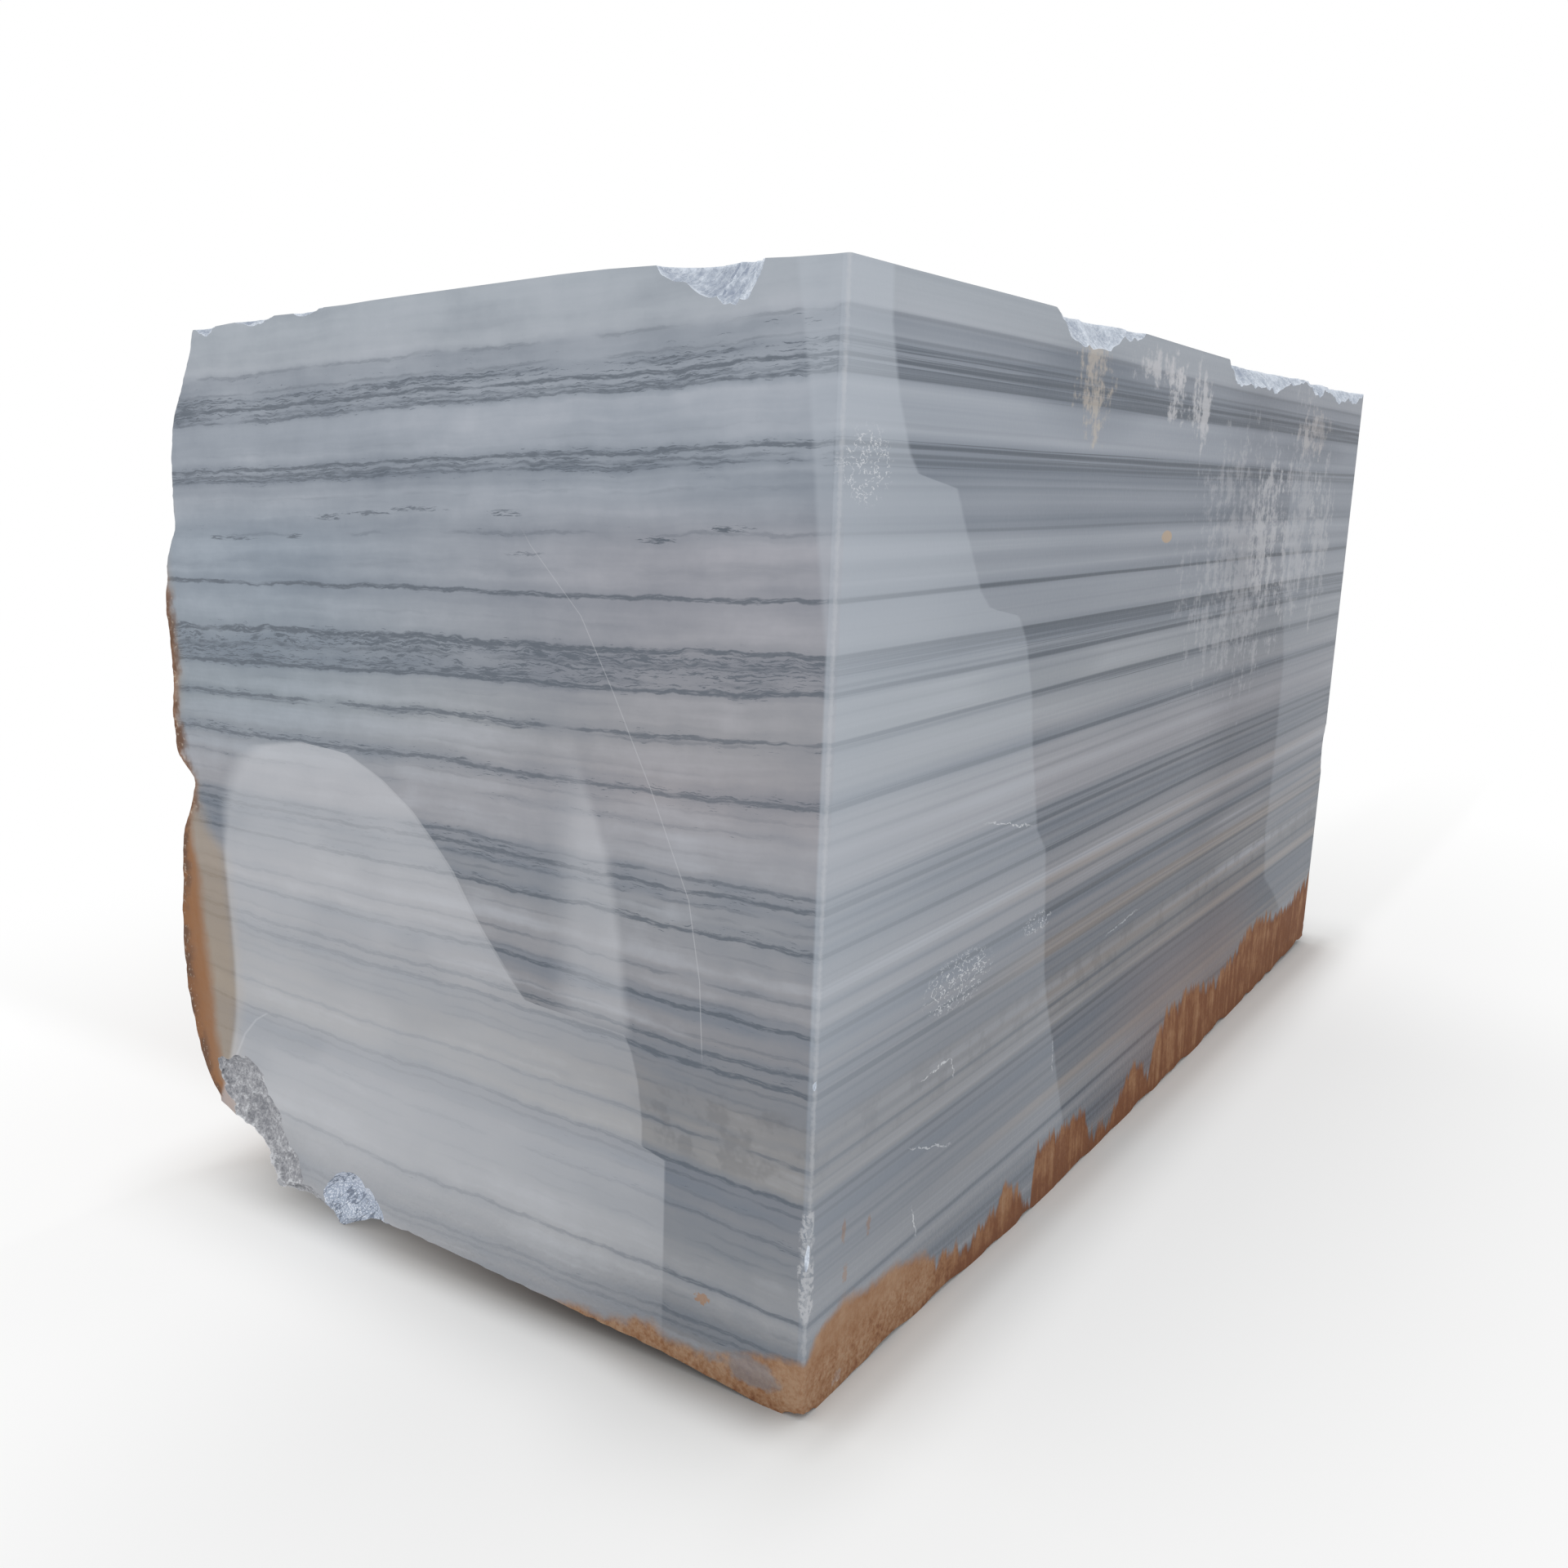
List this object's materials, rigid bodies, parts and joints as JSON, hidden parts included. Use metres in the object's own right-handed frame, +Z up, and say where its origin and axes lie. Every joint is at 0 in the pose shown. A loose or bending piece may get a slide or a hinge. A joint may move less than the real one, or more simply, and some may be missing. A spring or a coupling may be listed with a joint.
{
  "type": "marble block",
  "caption": "Large sawn block of grey banded marble with one natural rough flank, broken edges and mud along the foot.",
  "frame": {"origin": "middle of the footprint, on the ground plane the block rests on", "axes": "+Z up, +Y along the block's length away from the banded end face, +X out of the long sawn side, -X out of the natural rough flank"},
  "size_m": [1.6513, 3.1071, 1.7952],
  "materials": {
    "grey_marble": "sawn and lightly glossy faces, dry mud along the foot, iron-stained natural flank"
  },
  "bodies": {
    "root": {"marble_block": "grey_marble"}
  },
  "joints": []
}
